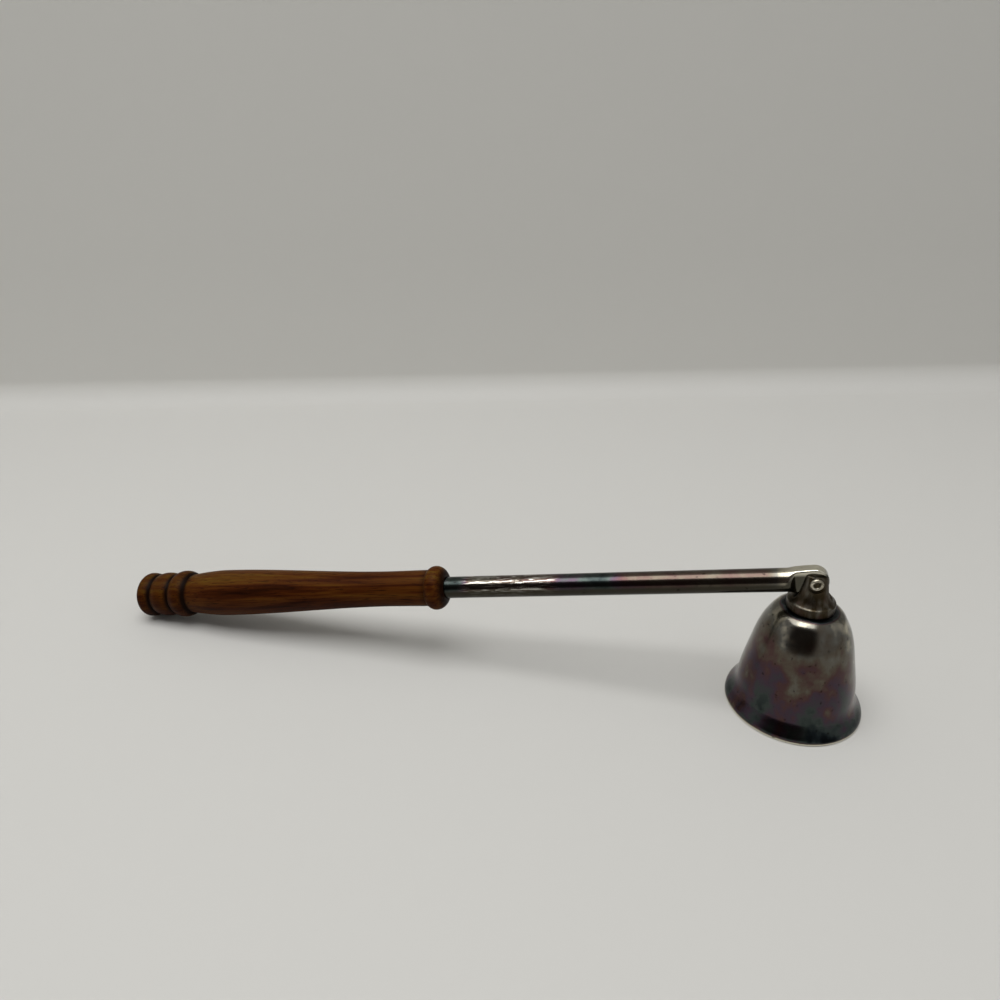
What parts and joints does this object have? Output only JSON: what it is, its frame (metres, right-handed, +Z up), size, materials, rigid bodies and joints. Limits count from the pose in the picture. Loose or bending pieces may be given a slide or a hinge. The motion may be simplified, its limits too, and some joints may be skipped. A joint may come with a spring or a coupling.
{
  "type": "candle snuffer",
  "caption": "Candle snuffer with a spun bell that swings on a riveted hinge at the end of a tube shaft, set in a turned wood handle.",
  "frame": {"origin": "on the surface that the snuffer rests on, under the middle of its whole length and width", "axes": "+X along the length towards the bell, +Y across it along the hinge rivet, +Z up from the resting surface"},
  "size_m": [0.2828, 0.0456, 0.0551],
  "materials": {
    "handle": "turned hardwood, stained brown, satin varnish",
    "shaft": "tarnished silver plate on drawn brass tube",
    "hinge_cap": "tarnished silver plate on turned brass",
    "hinge_rivet": "tarnished silver plate, rolled end",
    "bell": "tarnished silver plate on spun brass sheet",
    "bell_washer": "bare stamped brass",
    "bell_screw": "bare steel"
  },
  "bodies": {
    "grip": {"handle": "handle", "shaft": "shaft"},
    "bell_unit": {"hinge_cap": "hinge_cap", "hinge_rivet": "hinge_rivet", "bell": "bell", "bell_washer": "bell_washer", "bell_screw": "bell_screw"}
  },
  "joints": [
    {"name": "bell_hinge", "type": "hinge", "parent": "grip", "child": "bell_unit", "pos_m": [0.11862, 0, 0.0505], "axis": [0, 1, 0], "range_deg": [-204, 6]}
  ]
}
